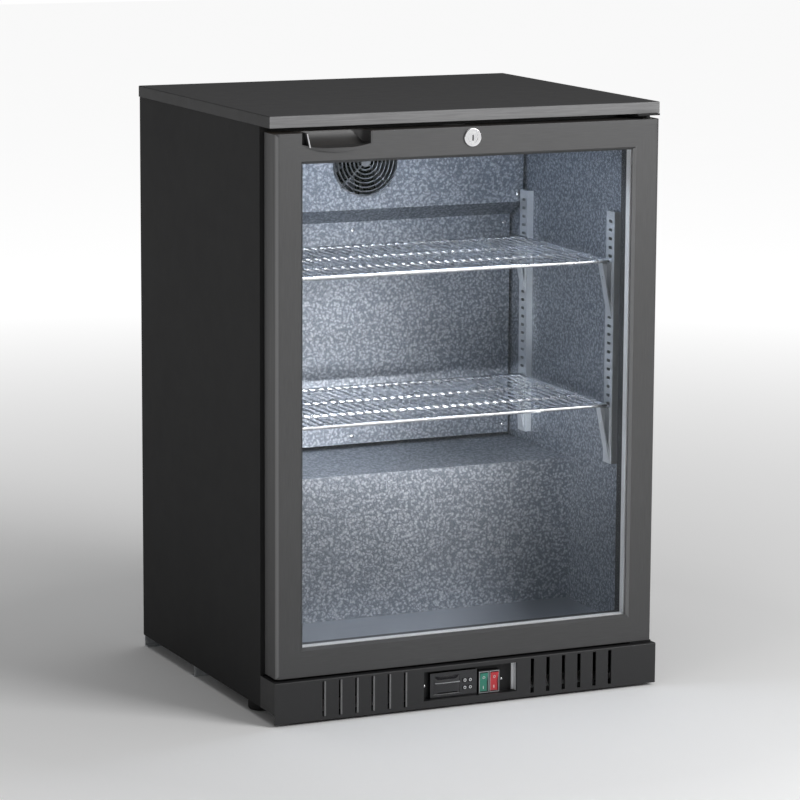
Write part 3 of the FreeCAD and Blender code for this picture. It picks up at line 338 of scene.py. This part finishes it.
MATERIALS = {
    "worktop_steel": worktop_steel("worktop_steel"),
    "side_steel": coated("side_steel", (0.024, 0.024, 0.0245), (0.027, 0.027, 0.0275), (0.58, 0.64),
                         worn=(0.05, 0.05, 0.052), specular=0.07),
    "board": particle_board("board"),
    "galvanised": spangled("galvanised", (0.5, 0.52, 0.54), (0.68, 0.7, 0.71)),
    "foam": foamed("foam"),
    "lining": brushed("lining", (0.36, 0.38, 0.41), (0.44, 0.46, 0.49), "x", (0.34, 0.44)),
    "lining_stucco": stucco("lining_stucco", (0.23, 0.255, 0.295), (0.6, 0.635, 0.69)),
    "plastic_dark": coated("plastic_dark", (0.006, 0.006, 0.0065), (0.008, 0.008, 0.0085), (0.4, 0.5),
                           specular=0.3),
    "plastic_black": coated("plastic_black", (0.022, 0.022, 0.023), (0.026, 0.026, 0.027), (0.42, 0.5),
                            grain=1800, height=0.02, specular=0.35),
    "plastic_gloss": coated("plastic_gloss", (0.004, 0.004, 0.006), (0.006, 0.006, 0.008), (0.1, 0.2),
                            height=0.002, peel=0.004, coat=0.5),
    "plastic_handle": coated("plastic_handle", (0.045, 0.045, 0.046), (0.055, 0.055, 0.056), (0.34, 0.4),
                             height=0.004, peel=0.006),
    # Light grey finish of the strip on the handle rim: a painted highlight.
    "rim_highlight_strip": coated("rim_highlight_strip", (0.4, 0.4, 0.41), (0.5, 0.5, 0.51), (0.2, 0.3), height=0.003,
                         peel=0.004, coat=0.4),
    # Light grey for the lips in the kick panel slots: a painted highlight of the lit slot walls.
    "painted_lit_lip": coated("painted_lit_lip", (0.14, 0.14, 0.142), (0.19, 0.19, 0.192), (0.35, 0.45), height=0.02),
    "key_white": coated("key_white", (0.75, 0.77, 0.78), (0.82, 0.83, 0.84), (0.3, 0.4), height=0.004),
    "rocker_green": coated("rocker_green", (0.012, 0.17, 0.11), (0.016, 0.22, 0.15), (0.14, 0.22),
                           height=0.002, peel=0.003, coat=0.6),
    "rocker_red": coated("rocker_red", (0.42, 0.01, 0.018), (0.52, 0.014, 0.024), (0.14, 0.22),
                         height=0.002, peel=0.003, coat=0.6),
    "door_frame": brushed("door_frame", (0.068, 0.068, 0.069), (0.092, 0.092, 0.093), "x",
                          (0.44, 0.52), 0.55),
    # Uprights: the lighter corner colour is a painted highlight down the outer left edge.
    "door_frame_upright": brushed("door_frame_upright", (0.068, 0.068, 0.069), (0.092, 0.092, 0.093), "z",
                                  (0.44, 0.52), 0.55, corner=(0.2, 0.2, 0.202)),
    "nylon": coated("nylon", (0.7, 0.69, 0.64), (0.76, 0.75, 0.7), (0.35, 0.45)),
    "glass": clear_glass("glass"),
    "spacer": brushed("spacer", (0.82, 0.83, 0.84), (0.92, 0.93, 0.94), "z", (0.4, 0.55), 0.1),
    "rubber_black": coated("rubber_black", (0.008, 0.008, 0.008), (0.011, 0.011, 0.011), (0.6, 0.75),
                           height=0.03, specular=0.3),
    "lock_chrome": plated("lock_chrome", (0.84, 0.84, 0.85), (0.66, 0.66, 0.67), (0.1, 0.2)),
    "wire_chrome": plated("wire_chrome", (0.86, 0.87, 0.9), (0.74, 0.76, 0.79), (0.2, 0.32)),
    "fan_wire": plated("fan_wire", (0.26, 0.27, 0.29), (0.2, 0.21, 0.23), (0.25, 0.35)),
    "fan_black": coated("fan_black", (0.002, 0.002, 0.002), (0.003, 0.003, 0.003), (0.6, 0.7),
                        specular=0.06),
    "pilaster": brushed("pilaster", (0.62, 0.66, 0.7), (0.74, 0.77, 0.8), "z", (0.3, 0.42), 0.6),
    "motor_paint": coated("motor_paint", (0.009, 0.009, 0.009), (0.012, 0.012, 0.012), (0.3, 0.42),
                          worn=(0.1, 0.1, 0.1), coat=0.1),
    "coil": brushed("coil", (0.1, 0.1, 0.1), (0.16, 0.16, 0.16), "z", (0.35, 0.5), 0.9),
    "diffuser": opal("diffuser", 2.0),
    "fan_metal": brushed("fan_metal", (0.42, 0.42, 0.42), (0.56, 0.56, 0.56), "x", (0.35, 0.5), 0.9),
    "copper": plated("copper", (0.72, 0.32, 0.18), (0.42, 0.2, 0.12), (0.25, 0.5), 120, 0.01),
    "clear_grey": coated("clear_grey", (0.25, 0.26, 0.27), (0.36, 0.37, 0.38), (0.08, 0.16),
                         height=0.002, peel=0.003, coat=0.6),
}


# --- Pieces --------------------------------------------------------------------------

def make_mesh(name, vertices, faces):
    """Mesh from millimetre points, with its normals turned outward."""
    mesh = bpy.data.meshes.new(name)
    mesh.from_pydata([Vector(point) * MM for point in vertices], [], faces)
    work = bmesh.new()
    work.from_mesh(mesh)
    bmesh.ops.recalc_face_normals(work, faces=work.faces)
    work.to_mesh(mesh)
    work.free()
    return mesh


def show(name, mesh, body, slot, material=None):
    """Put a mesh in the scene on a body, with the finish of a record slot."""
    piece = bpy.data.objects.new(name, mesh)
    bpy.context.scene.collection.objects.link(piece)
    mesh.materials.clear()
    mesh.materials.append(MATERIALS[material or slot])
    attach(piece, body)
    return piece


def smooth(piece, degrees=35):
    mesh = piece.data
    for polygon in mesh.polygons:
        polygon.use_smooth = True
    mesh.set_sharp_from_angle(angle=math.radians(degrees))
    weighted = piece.modifiers.new("weighted", "WEIGHTED_NORMAL")
    weighted.keep_sharp = True


def refine(node, width, segments=2, material=None, angle=32):
    """Show a copy of a CAD node with its sharp edges rounded, in the node's place."""
    work = bmesh.new()
    work.from_mesh(frame["nodes"][node].data)
    bmesh.ops.remove_doubles(work, verts=work.verts, dist=2e-6)
    bmesh.ops.dissolve_limit(work, angle_limit=math.radians(0.6), verts=work.verts, edges=work.edges)
    if width > 0:
        sharp = [edge for edge in work.edges
                 if len(edge.link_faces) == 2 and edge.calc_face_angle(0.0) > math.radians(angle)]
        bmesh.ops.bevel(work, geom=sharp, offset=width * MM, segments=segments, profile=0.5,
                        affect="EDGES", clamp_overlap=True)
    mesh = bpy.data.meshes.new(node + "_shown")
    work.to_mesh(mesh)
    work.free()
    piece = show(node + "_shown", mesh, BODY_OF[node], SLOT_OF[node], material)
    smooth(piece)
    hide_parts(node)
    return piece


def corners_mm(node):
    low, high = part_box(node)
    return low / MM, high / MM


def ring_sweep(profile, half, low, high):
    """Sweep (inset, y) points round an upright rectangle, with mitred corners."""
    vertices = []
    for side_x, side_z in ((-1, 0), (1, 0), (1, 1), (-1, 1)):
        for inset, y in profile:
            z = high - inset if side_z else low + inset
            vertices.append((side_x * (half - inset), y, z))
    count = len(profile)
    faces = []
    for corner in range(4):
        following = (corner + 1) % 4
        for i in range(count):
            j = (i + 1) % count
            faces.append((corner * count + i, corner * count + j,
                          following * count + j, following * count + i))
    return vertices, faces


def extrude_x(profile, x_low, x_high):
    """Extrude (y, z) points along X, with closed ends."""
    count = len(profile)
    vertices = [(x, y, z) for x in (x_low, x_high) for y, z in profile]
    faces = [(i, (i + 1) % count, count + (i + 1) % count, count + i) for i in range(count)]
    faces += [tuple(range(count)), tuple(range(2 * count - 1, count - 1, -1))]
    return vertices, faces


def extrude_z(outline, z_low, z_high):
    """Extrude (x, y) points along Z, with closed ends."""
    count = len(outline)
    vertices = [(x, y, z) for z in (z_low, z_high) for x, y in outline]
    faces = [(i, (i + 1) % count, count + (i + 1) % count, count + i) for i in range(count)]
    faces += [tuple(range(count)), tuple(range(2 * count - 1, count - 1, -1))]
    return vertices, faces


def turned_y(profile, x, z, steps=32, depth=None):
    """Turn (radius, y) points about an axis along Y; depth(radius, angle) may sink a point."""
    vertices = [(x, profile[0][1] + (depth(0, 0) if depth else 0), z)]
    for radius, y in profile[1:]:
        for step in range(steps):
            angle = 2 * math.pi * step / steps
            sunk = depth(radius, angle) if depth else 0
            vertices.append((x + radius * math.cos(angle), y + sunk, z + radius * math.sin(angle)))
    faces = [(0, 1 + step, 1 + (step + 1) % steps) for step in range(steps)]
    for ring in range(len(profile) - 2):
        start = 1 + ring * steps
        for step in range(steps):
            after = (step + 1) % steps
            faces.append((start + step, start + steps + step, start + steps + after, start + after))
    last = 1 + (len(profile) - 2) * steps
    faces.append(tuple(range(last, last + steps)))
    return vertices, faces


def joined(parts):
    vertices, faces = [], []
    for some, some_faces in parts:
        start = len(vertices)
        vertices += some
        faces += [tuple(start + index for index in face) for face in some_faces]
    return vertices, faces


def screw_head(x, y, z, radius, facing_y):
    """Pan head with a cross recess, on a face that looks along -Y or +Y."""
    rise = facing_y * radius * 0.5

    def cross(distance, angle):
        along = distance * math.cos(angle)
        across = distance * math.sin(angle)
        arm = radius * 0.6
        width = radius * 0.16
        inside = (abs(along) < width and abs(across) < arm) or (abs(across) < width and abs(along) < arm)
        return -0.7 * rise if inside else 0.0

    shares = (0, 0.14, 0.18, 0.3, 0.5, 0.58, 0.64, 0.8, 0.93, 1.0, 1.0)
    profile = [(radius * share, y + rise * math.sqrt(max(0.0, 1 - (0.9 * share) ** 2))) for share in shares]
    profile[-1] = (radius, y - facing_y * 0.2)
    return turned_y(profile, x, z, 48, cross)


def ring_y(x, y, z, radius, wire, around=28, section=10):
    """Ring of round section about an axis along Y."""
    vertices, faces = [], []
    for step in range(around):
        angle = 2 * math.pi * step / around
        for turn in range(section):
            bend = 2 * math.pi * turn / section
            distance = radius + wire * math.cos(bend)
            vertices.append((x + distance * math.cos(angle), y + wire * math.sin(bend),
                             z + distance * math.sin(angle)))
    for step in range(around):
        for turn in range(section):
            after, beside = (step + 1) % around, (turn + 1) % section
            faces.append((step * section + turn, after * section + turn,
                          after * section + beside, step * section + beside))
    return vertices, faces


# Carried-over nodes, with the radius that their sharp edges get, in millimetres.
ROUNDED = {
    "worktop": 0.35, "left_side_panel": 0.35, "right_side_panel": 0.35, "kick_panel": 0.6,
    "door_stile_left": 1.5, "door_stile_right": 1.5, "door_rail_top": 0.25, "door_rail_bottom": 0.25,
    "control_recess": 0.3, "controller_case": 0.5, "key_upper_left": 0.5, "key_upper_right": 0.5,
    "key_lower_left": 0.5, "key_lower_right": 0.5, "rocker_light": 0.6, "rocker_power": 0.6,
    "handle_cup": 0.5, "lock_housing": 0.25, "lock_cylinder": 0.3, "breaker_frame": 0.8,
    "hinge_brackets": 0.4, "base_plate": 0.3, "foot_left": 0.5, "foot_right": 0.5,
    "compressor": 0.6, "terminal_box": 2.0, "evaporation_tray": 0.6, "cord_gland": 0.6,
    "fan_housing": 0.2, "lining_step": 0.2, "shelf_clips": 0.25, "rear_panel": 0.25, "rear_grille": 0.2,
    "glass_spacer": 0.3, "hinge_bushes": 0.4, "compressor_mounts": 0.8, "shelf_pilasters": 0.2,
    "shelf_upper": 0, "shelf_lower": 0, "fan_guard": 0, "evaporator_fan": 0.3, "evaporator_motor": 0.4,
    "condenser_fan": 0.3, "condenser_shroud": 0.3, "refrigerant_pipes": 0, "evaporator_coil": 0,
    "condenser_coil": 0,
}
FINISHES = {
    "door_stile_left": "door_frame_upright", "door_stile_right": "door_frame_upright",
    "evaporator_fan": "fan_black", "evaporator_motor": "fan_black", "fan_guard": "fan_wire",
    "shelf_clips": "pilaster",
}
for node_name, round_mm in ROUNDED.items():
    refine(node_name, round_mm, material=FINISHES.get(node_name))
for node_name, cad_object in frame["nodes"].items():
    if node_name not in ROUNDED:
        cad_object.data.materials.clear()
        cad_object.data.materials.append(MATERIALS[SLOT_OF[node_name]])


def door_seal():
    """Gasket with a bellows flank and a round magnet bead on the cabinet side."""
    low, high = corners_mm("door_gasket")
    wide = 16.5
    front, back = low.y, high.y
    profile = [(3, front), (wide - 3, front), (wide - 3, front + 1.1), (wide - 0.3, front + 1.9),
               (wide - 1.6, front + 2.8), (wide, front + 3.8), (wide - 0.4, back - 0.5), (wide - 1.8, back),
               (2, back), (0.5, back - 0.5), (0, front + 3.8), (1.6, front + 2.8), (0.3, front + 1.9),
               (3, front + 1.1)]
    piece = show("gasket_bellows", make_mesh("gasket_bellows", *ring_sweep(profile, high.x, low.z, high.z)),
                 "door", "rubber_black")
    smooth(piece, 60)
    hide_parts("door_gasket")


def cabinet_lamp():
    """White channel under the ceiling with an opal cover and two end caps."""
    low, high = corners_mm("light_bar")
    y, top, bottom = low.y, high.z, low.z
    channel = [(y, top), (y + 1.7, bottom + 4.2), (y + 6.5, bottom + 1.2), (y + 6.5, bottom + 3.5),
               (y + 19.5, bottom + 3.5), (y + 19.5, bottom + 1.2), (y + 24.3, bottom + 4.2), (y + 26, top)]
    body = show("lamp_channel", make_mesh("lamp_channel", *extrude_x(channel, low.x + 2, high.x - 2)),
                "cabinet", "diffuser", "nylon")
    arc = [(y + 13 - 6.3 * math.cos(math.pi * i / 10), bottom + 3.3 - 3.2 * math.sin(math.pi * i / 10))
           for i in range(11)]
    cover = show("lamp_cover", make_mesh("lamp_cover", *extrude_x(arc, low.x + 2, high.x - 2)),
                 "cabinet", "diffuser")
    end = [(y + 0.2, top), (y + 1.5, bottom + 4), (y + 7, bottom), (y + 19, bottom), (y + 24.5, bottom + 4),
           (y + 25.8, top)]
    caps = [extrude_x(end, low.x, low.x + 2.2), extrude_x(end, high.x - 2.2, high.x)]
    caps = show("lamp_ends", make_mesh("lamp_ends", *joined(caps)), "cabinet", "diffuser", "nylon")
    for piece in (body, cover, caps):
        smooth(piece)
    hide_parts("light_bar")


def controller_face():
    """Domed display window, and a printed ring on each key."""
    low, high = corners_mm("controller_case")
    left, right = low.x + 6.3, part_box("key_lower_left")[0].x / MM - 4.6
    bottom, top = low.z + 5.3, high.z - 5.3
    across, up = 16, 12
    vertices = []
    for j in range(up + 1):
        for i in range(across + 1):
            u, v = i / across, j / up
            edge = min(1.0, 6 * min(u, 1 - u)) * min(1.0, 6 * min(v, 1 - v))
            bulge = 1.7 * math.sqrt(edge) * (1 - 0.6 * (2 * v - 1) ** 2)
            vertices.append((left + (right - left) * u, low.y + 0.5 - bulge, bottom + (top - bottom) * v))
    row = across + 1
    faces = [(j * row + i, j * row + i + 1, (j + 1) * row + i + 1, (j + 1) * row + i)
             for j in range(up) for i in range(across)]
    rim = [i for i in range(row)] + [j * row + across for j in range(1, up + 1)]
    rim += [up * row + i for i in range(across - 1, -1, -1)] + [j * row for j in range(up - 1, 0, -1)]
    start = len(vertices)
    vertices += [(vertices[i][0], low.y + 0.58, vertices[i][2]) for i in rim]
    count = len(rim)
    faces += [(rim[i], start + i, start + (i + 1) % count, rim[(i + 1) % count]) for i in range(count)]
    faces.append(tuple(range(start, start + count)))
    window = make_mesh("display_window", vertices, faces)
    smooth(show("display_window", window, "cabinet", "plastic_gloss"), 50)
    # Bead across the display in light grey: partly a ridge that catches light, partly a painted reflection
    # streak.
    bead_z = bottom + 0.62 * (top - bottom)
    arc = [(low.y + 0.4 - 2.4 * math.sin(math.pi * i / 8), bead_z - 0.9 * math.cos(math.pi * i / 8))
           for i in range(9)]
    bead = make_mesh("display_bead", *extrude_x(arc, left + 1, right - 0.5))
    smooth(show("display_bead", bead, "cabinet", "plastic_gloss", "clear_grey"), 50)
    for node in ("key_lower_left", "key_lower_right", "key_upper_left", "key_upper_right"):
        key_low, key_high = corners_mm(node)
        middle = (key_low + key_high) / 2
        ring = ring_y(middle.x, key_low.y + 0.1, middle.z, 1.75, 0.42)
        smooth(show(node + "_ring", make_mesh(node + "_ring", *ring), BODY_OF[node], "nylon", "key_white"))


BOX_FACES = [(0, 1, 3, 2), (4, 6, 7, 5), (0, 4, 5, 1), (2, 3, 7, 6), (0, 2, 6, 4), (1, 5, 7, 3)]
ROCKER_TILT = math.radians(6)
ROCKER_HALF_TALL = 13.6
ROCKER_CROWN = 4.5
ROCKER_DISH = 2.0


def pivot_y(body):
    """Depth in millimetres of the axis that a rocker tips about."""
    joints = frame["record"]["behaviour"]["joints"]
    return next(joint["pos_m"][1] for joint in joints if joint["child"] == body) / MM


def rocker_surface(side_z):
    """Depth of a rocker's face from its axis, at a height on the face."""
    return -ROCKER_CROWN - ROCKER_DISH * abs(side_z) / ROCKER_HALF_TALL


def rocker_bezel(node):
    """Clear frame round a rocker."""
    recess_low, _ = corners_mm("control_recess")
    low, high = corners_mm(node)
    x = (low.x + high.x) / 2
    z = (low.z + high.z) / 2
    half_wide, half_tall = 6.4, 14.5
    front, back = recess_low.y + 4.1, recess_low.y + 5.2
    outline = ((1.3, front + 0.4), (0.9, front), (0.3, front), (0, front + 0.5), (0, back), (1.3, back))
    vertices = [(x + sx * (half_wide + grow), y, z + sz * (half_tall + grow))
                for grow, y in outline for sx, sz in ((-1, -1), (1, -1), (1, 1), (-1, 1))]
    loops = len(outline)
    faces = [(4 * i + k, 4 * ((i + 1) % loops) + k, 4 * ((i + 1) % loops) + (k + 1) % 4, 4 * i + (k + 1) % 4)
             for i in range(loops) for k in range(4)]
    bezel = make_mesh(node + "_bezel", vertices, faces)
    smooth(show(node + "_bezel", bezel, "cabinet", "plastic_gloss", "clear_grey"))


def rocker_marks(node):
    """A dash on the lower half of a rocker and a circle on its upper half."""
    low, high = corners_mm(node)
    x = (low.x + high.x) / 2
    z = (low.z + high.z) / 2
    axis_y = pivot_y(BODY_OF[node])

    def tilted(side_y, side_z):
        return (axis_y + side_y * math.cos(ROCKER_TILT) - side_z * math.sin(ROCKER_TILT),
                z + side_y * math.sin(ROCKER_TILT) + side_z * math.cos(ROCKER_TILT))

    dash = []
    for side_z in (-9.5, -5.5):
        for x_side in (-0.5, 0.5):
            for out in (0.12, -0.3):
                y_at, z_at = tilted(rocker_surface(side_z) - out, side_z)
                dash.append((x + x_side, y_at, z_at))
    show(node + "_dash", make_mesh(node + "_dash", dash, BOX_FACES), BODY_OF[node], "nylon", "key_white")
    vertices, faces = ring_y(0, 0, 0, 1.7, 0.3)
    slope = math.atan2(ROCKER_DISH, ROCKER_HALF_TALL) + ROCKER_TILT
    circle_up = 7.5
    centre_y, centre_z = tilted(rocker_surface(circle_up), circle_up)
    vertices = [(x + vx, centre_y + vy * math.cos(slope) - vz * math.sin(slope),
                 centre_z + vy * math.sin(slope) + vz * math.cos(slope)) for vx, vy, vz in vertices]
    circle = make_mesh(node + "_circle", vertices, faces)
    smooth(show(node + "_circle", circle, BODY_OF[node], "nylon", "key_white"))


def window_studs():
    """Small screw beside the rockers and one at the left end of the recess."""
    low, high = corners_mm("control_recess")
    floor_y = low.y + 11
    studs = [screw_head(high.x - 20, floor_y, low.z + 19, 1.7, -1),
             screw_head(low.x + 9, floor_y, low.z + 20, 1.9, -1)]
    smooth(show("window_studs", make_mesh("window_studs", *joined(studs)), "cabinet", "lock_chrome"))


def window_end_highlight():
    """Bright curved sheet at the right end of the recess: a painted highlight on the curved end wall."""
    low, high = corners_mm("control_recess")
    centre_x, centre_y = high.x - 6, low.y + 4
    lines = []
    for radius in (4.0, 3.4):
        angles = [math.pi / 2 * i / 8 for i in range(9)]
        line = [(centre_x + radius * math.sin(angle), centre_y + radius * math.cos(angle))
                for angle in angles]
        line.append((centre_x + radius, low.y + 0.2))
        lines.append(line)
    # The light spacer finish on this sheet is a painted highlight.
    sheet = make_mesh("window_end_highlight", *extrude_z(lines[0] + lines[1][::-1], low.z + 3, high.z - 3))
    smooth(show("window_end_highlight", sheet, "cabinet", "spacer"))


def rim_highlight_strip():
    """Light grey strip down the slanted left rim of the handle cup: a painted highlight."""
    low, high = corners_mm("handle_cup")
    outline = [(low.x + 6.3, high.z - 0.6), (low.x + 7.9, high.z - 0.6),
               (low.x + 12.4, low.z + 6.4), (low.x + 10.6, low.z + 6.4)]
    vertices = [(x, y, z) for y in (low.y + 3.55, low.y + 4.1) for x, z in outline]
    faces = [(i, (i + 1) % 4, 4 + (i + 1) % 4, 4 + i) for i in range(4)] + [(0, 1, 2, 3), (7, 6, 5, 4)]
    show("rim_highlight_strip", make_mesh("rim_highlight_strip", vertices, faces), "door", "plastic_handle", "rim_highlight_strip")


def slot_edges():
    """Turned edge in each slot of the left group of the kick panel, coloured light grey as a painted
    highlight on the lit slot wall.
    """
    low, high = corners_mm("kick_panel")
    first, pitch, count = -100, 25, 6
    parts = []
    for step in range(count):
        middle = first - pitch * step
        outline = [(middle + 0.2, low.y + 2.2), (middle + 0.6, low.y + 0.9), (middle + 1.4, low.y + 0.35),
                   (middle + 2.85, low.y + 0.3), (middle + 2.85, low.y + 2.2)]
        parts.append(extrude_z(outline, low.z + 5, high.z - 3.5))
    edges = make_mesh("slot_edges", *joined(parts))
    smooth(show("slot_edges", edges, "cabinet", "plastic_black", "painted_lit_lip"))


def fasteners():
    """Screws of the rear sheets and of the evaporator covers."""
    panel_low, panel_high = corners_mm("rear_panel")
    grille_low, grille_high = corners_mm("rear_grille")
    heads = []
    for low, high in ((panel_low, panel_high), (grille_low, grille_high)):
        for x in (low.x + 6, high.x - 6):
            for share in (0, 0.5, 1):
                heads.append((x, low.z + 9 + share * (high.z - low.z - 18)))
        heads.append((0, high.z - 9))
    rear = [screw_head(x, panel_high.y, z, 3.6, 1) for x, z in heads]
    smooth(show("rear_screws", make_mesh("rear_screws", *joined(rear)), "cabinet", "lock_chrome"))
    cover_low, cover_high = corners_mm("evaporator_cover")
    housing_low, housing_high = corners_mm("fan_housing")
    inner = [screw_head(x, cover_low.y, z, 3, -1) for x in (cover_low.x + 9, 0, cover_high.x - 9)
             for z in (cover_low.z + 12, cover_high.z - 12)]
    inner += [screw_head(x, housing_low.y, z, 3, -1) for x in (housing_low.x + 9, housing_high.x - 9)
              for z in (housing_low.z + 36, housing_high.z - 20)]
    smooth(show("cover_screws", make_mesh("cover_screws", *joined(inner)), "cabinet", "lock_chrome"))


door_seal()
cabinet_lamp()
controller_face()
for rocker in ("rocker_light", "rocker_power"):
    rocker_bezel(rocker)
    rocker_marks(rocker)
window_studs()
window_end_highlight()
rim_highlight_strip()
slot_edges()
fasteners()


# --- Stage, lights and camera --------------------------------------------------------

def area_light(name, place, aim, width, height, power, colour=(1, 1, 1)):
    lamp = bpy.data.lights.new(name, "AREA")
    lamp.shape = "RECTANGLE"
    lamp.size = width
    lamp.size_y = height
    lamp.energy = power
    lamp.color = colour
    holder = bpy.data.objects.new(name, lamp)
    holder.location = place
    holder.rotation_euler = (Vector(aim) - Vector(place)).to_track_quat("-Z", "Y").to_euler()
    bpy.context.scene.collection.objects.link(holder)


def pale_floor():
    """Wide floor that glows a little further from the object, so that it fades into the backdrop."""
    half = 14
    mesh = bpy.data.meshes.new("floor")
    corners = [(-half, -half, 0), (half, -half, 0), (half, half, 0), (-half, half, 0)]
    mesh.from_pydata(corners, [], [(0, 1, 2, 3)])
    floor = bpy.data.objects.new("floor", mesh)
    bpy.context.scene.collection.objects.link(floor)
    material, shader = new_material("floor")
    tint = blend(material, noise(material, 2.0), (0.93, 0.93, 0.93), (0.96, 0.96, 0.96))
    connect(material, tint, shader.inputs["Base Color"])
    place = add_node(material, "ShaderNodeTexCoord")
    reach = add_node(material, "ShaderNodeVectorMath", {"Vector": place.outputs["Object"]},
                     operation="LENGTH")
    connect(material, spread(material, reach.outputs["Value"], 0.0, 0.8, 0.7, 3.6),
            shader.inputs["Emission Strength"])
    set_values(shader, Roughness=0.9, Emission_Color=(1, 1, 1, 1))
    mesh.materials.append(material)


def backdrop():
    """White to the eye, but it throws only a little light."""
    world = bpy.data.worlds.new("world")
    world.use_nodes = True
    tree = world.node_tree
    seen = tree.nodes.new("ShaderNodeLightPath")
    level = tree.nodes.new("ShaderNodeMapRange")
    level.inputs["To Min"].default_value = 0.15
    level.inputs["To Max"].default_value = 1.0
    tree.links.new(seen.outputs["Is Camera Ray"], level.inputs["Value"])
    tree.links.new(level.outputs["Result"], tree.nodes["Background"].inputs["Strength"])
    tree.nodes["Background"].inputs["Color"].default_value = (1, 1, 1, 1)
    bpy.context.scene.world = world
    bpy.context.scene.view_settings.view_transform = "Standard"


def studio_lights():
    area_light("key", (2.2, -3.4, 2.6), (0, -0.1, 0.45), 2.0, 2.4, 50)
    area_light("front", (1.05, -1.8, 1.35), (0.1, -0.25, 0.7), 1.0, 0.7, 20)
    area_light("edge_strip", (-2.7, -1.8, 0.9), (-0.28, -0.25, 0.45), 0.35, 1.9, 5)
    area_light("above", (0, 0.2, 3.2), (0, 0, 0.8), 2.6, 2.6, 28)


def cabinet_lights():
    """Cool light from the bar under the ceiling, and a fill in front of the step."""
    low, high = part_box("light_bar")
    under_bar = ((low.x + high.x) / 2, (low.y + high.y) / 2, low.z - 0.004)
    area_light("cabinet_light", under_bar, (0, 0.06, 0.3), 0.4, 0.02, 0.9, (0.8, 0.88, 1.0))
    area_light("cabinet_glow", (-0.05, -0.16, 0.385), (0.02, 0.2, 0.34), 0.4, 0.02, 1.2)


def front_camera():
    """Long lens, from the left of the front and a little above."""
    azimuth = math.radians(-24.66)
    elevation = math.radians(10.1)
    distance = 5.299
    roll = math.radians(-0.3)
    target = Vector((0.0083, 0.0, 0.3993))
    back = Vector((math.sin(azimuth) * math.cos(elevation), -math.cos(azimuth) * math.cos(elevation),
                   math.sin(elevation)))
    data = bpy.data.cameras.new("camera")
    data.sensor_width = 36
    data.lens = 162.2385
    data.clip_end = 100
    camera = bpy.data.objects.new("camera", data)
    camera.location = target + back * distance
    camera.rotation_mode = "QUATERNION"
    turned = (-back).to_track_quat("-Z", "Y")
    camera.rotation_quaternion = turned @ Matrix.Rotation(-roll, 4, "Z").to_quaternion()
    bpy.context.scene.collection.objects.link(camera)
    bpy.context.scene.camera = camera


pale_floor()
backdrop()
studio_lights()
cabinet_lights()
front_camera()
